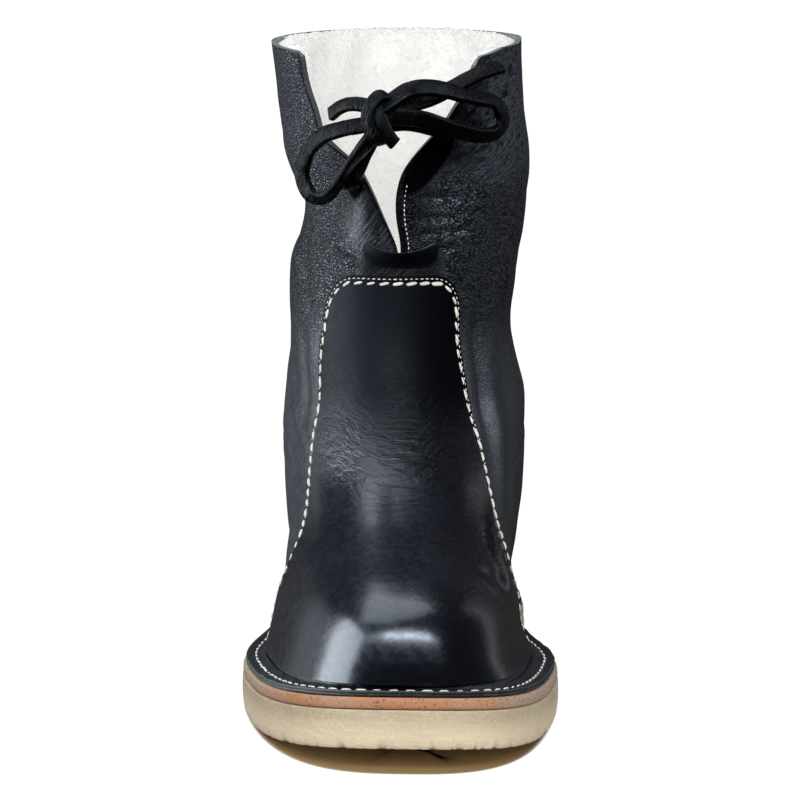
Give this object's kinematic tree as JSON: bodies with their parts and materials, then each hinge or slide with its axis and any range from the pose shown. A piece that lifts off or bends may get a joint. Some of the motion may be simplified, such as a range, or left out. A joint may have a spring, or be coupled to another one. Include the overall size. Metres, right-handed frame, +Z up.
{
  "type": "mukluk boot",
  "caption": "Tall leather mukluk boot for the right foot, with shearling lining, front slit tied by a flat thong bow, and a flat crepe sole.",
  "frame": {"origin": "on the floor under the middle of the outsole's box", "axes": "+Z up through the collar, the toe points to -Y, the heel to +Y, +X to the big-toe side"},
  "size_m": [0.1114, 0.284, 0.2291],
  "materials": {
    "grain_leather": "pebbled full-grain leather, satin",
    "smooth_leather": "smooth waxed leather, soft gloss",
    "lace_leather": "cut leather thong, satin",
    "tan_leather": "raw vegetable-tanned edge",
    "crepe": "natural crepe rubber, matt",
    "shearling": "shorn sheepskin pile",
    "insole_leather": "natural leather, matt"
  },
  "bodies": {
    "root": {"outsole": "crepe", "midsole": "tan_leather", "upper": "grain_leather", "front_panel": "smooth_leather", "catch_tab": "smooth_leather", "insole": "insole_leather", "fleece_lining": "shearling", "lace_bar": "lace_leather", "lace_knot": "lace_leather", "lace_loop_left": "lace_leather", "lace_loop_right": "lace_leather", "lace_end_left": "lace_leather", "lace_end_right": "lace_leather"}
  },
  "joints": []
}
